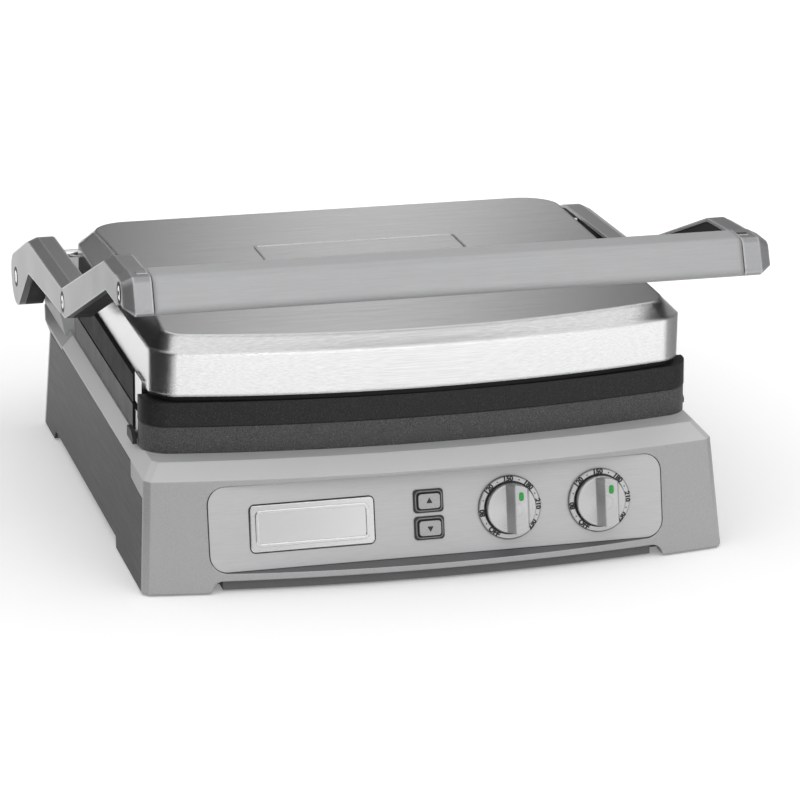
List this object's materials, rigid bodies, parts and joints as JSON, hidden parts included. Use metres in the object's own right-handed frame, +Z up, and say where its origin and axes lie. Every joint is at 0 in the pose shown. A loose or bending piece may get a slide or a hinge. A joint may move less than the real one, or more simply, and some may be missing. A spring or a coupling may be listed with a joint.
{
  "type": "panini press",
  "caption": "Countertop panini press: low base with bowed front and flat control panel, ribbed plates, and a floating cover carried by cranked arms with a bar handle.",
  "frame": {"origin": "middle of the bounding box, on the counter under the feet", "axes": "+X to the right as the cook faces the controls, +Y to the rear (hinge side), +Z up"},
  "size_m": [0.4454, 0.4671, 0.2309],
  "materials": {
    "housing_silver": "satin paint",
    "side_steel": "brushed",
    "panel_silver": "satin",
    "bright_chrome": "polished",
    "cover_steel": "brushed",
    "arm_silver": "satin",
    "plate_coating": "fine speckled non-stick coating",
    "frame_grey": "matte",
    "black_plastic": "matte",
    "rubber": "matte",
    "heater_steel": "matte",
    "reflector_sheet": "bright rolled",
    "lens_green": "translucent lens",
    "board_green": "matte",
    "pin_steel": "turned",
    "bush_nylon": "matte",
    "knob_silver": "satin metallic"
  },
  "bodies": {
    "base": {"base_housing": "housing_silver", "bottom_pan": "black_plastic", "rubber_feet": "rubber", "control_panel": "panel_silver", "badge_plate": "bright_chrome", "button_bezels": "bright_chrome", "dial_rings": "bright_chrome", "thermostats": "heater_steel", "control_board": "board_green", "lower_plate": "plate_coating", "lower_frame": "frame_grey", "lower_heater": "heater_steel", "lower_reflector": "reflector_sheet", "cord_inlet": "black_plastic", "hinge_pins": "pin_steel", "side_panel_left": "side_steel", "side_panel_right": "side_steel", "hinge_tower_left": "arm_silver", "hinge_tower_right": "arm_silver"},
    "arms": {"handle_bar": "arm_silver", "pivot_rod": "bright_chrome", "arm_screws": "bright_chrome", "arm_left": "arm_silver", "arm_right": "arm_silver", "arm_liner_left": "black_plastic", "arm_liner_right": "black_plastic", "hinge_bush_left": "bush_nylon", "hinge_bush_right": "bush_nylon"},
    "cover": {"cover_shell": "cover_steel", "upper_frame": "frame_grey", "upper_plate": "plate_coating", "upper_heater": "heater_steel", "upper_reflector": "reflector_sheet", "pivot_cheek_left": "black_plastic", "pivot_cheek_right": "black_plastic"},
    "tray": {"drip_tray": "black_plastic"},
    "dial_lower": {"knob_lower": "knob_silver", "led_lower": "lens_green"},
    "dial_upper": {"knob_upper": "knob_silver", "led_upper": "lens_green"},
    "push_upper": {"button_upper": "knob_silver"},
    "push_lower": {"button_lower": "knob_silver"},
    "latch_lower_left": {"lower_clip_left": "bright_chrome", "lower_clip_tab_left": "black_plastic"},
    "latch_lower_right": {"lower_clip_right": "bright_chrome", "lower_clip_tab_right": "black_plastic"},
    "latch_upper_left": {"upper_clip_left": "bright_chrome"},
    "latch_upper_right": {"upper_clip_right": "bright_chrome"}
  },
  "joints": [
    {"name": "arm_hinge", "type": "hinge", "parent": "base", "child": "arms", "pos_m": [0, 0.21205, 0.104], "axis": [-1, 0, 0], "range_deg": [0, 176]},
    {"name": "cover_float", "type": "hinge", "parent": "arms", "child": "cover", "pos_m": [0, 0.12305, 0.1462], "axis": [-1, 0, 0], "range_deg": [0, 8]},
    {"name": "tray_slide", "type": "slide", "parent": "base", "child": "tray", "axis": [0, 1, 0], "range_m": [0, 0.1]},
    {"name": "dial_lower_turn", "type": "hinge", "parent": "base", "child": "dial_lower", "pos_m": [0.0503, -0.20088, 0.04251], "axis": [0, 0.9773, -0.2118], "range_deg": [-143, 130]},
    {"name": "dial_upper_turn", "type": "hinge", "parent": "base", "child": "dial_upper", "pos_m": [0.1147, -0.20088, 0.04251], "axis": [0, 0.9773, -0.2118], "range_deg": [-143, 130]},
    {"name": "push_upper_press", "type": "slide", "parent": "base", "child": "push_upper", "axis": [0, 0.9773, -0.2118], "range_m": [0, 0.0016], "stiffness_N_per_m": 300},
    {"name": "push_lower_press", "type": "slide", "parent": "base", "child": "push_lower", "axis": [0, 0.9773, -0.2118], "range_m": [0, 0.0016], "stiffness_N_per_m": 300},
    {"name": "latch_lower_left_pull", "type": "slide", "parent": "base", "child": "latch_lower_left", "axis": [-1, 0, 0], "range_m": [0, 0.0022], "stiffness_N_per_m": 500},
    {"name": "latch_lower_right_pull", "type": "slide", "parent": "base", "child": "latch_lower_right", "axis": [1, 0, 0], "range_m": [0, 0.0022], "stiffness_N_per_m": 500},
    {"name": "latch_upper_left_pull", "type": "slide", "parent": "cover", "child": "latch_upper_left", "axis": [-1, 0, 0], "range_m": [0, 0.0022], "stiffness_N_per_m": 500},
    {"name": "latch_upper_right_pull", "type": "slide", "parent": "cover", "child": "latch_upper_right", "axis": [1, 0, 0], "range_m": [0, 0.0022], "stiffness_N_per_m": 500}
  ]
}
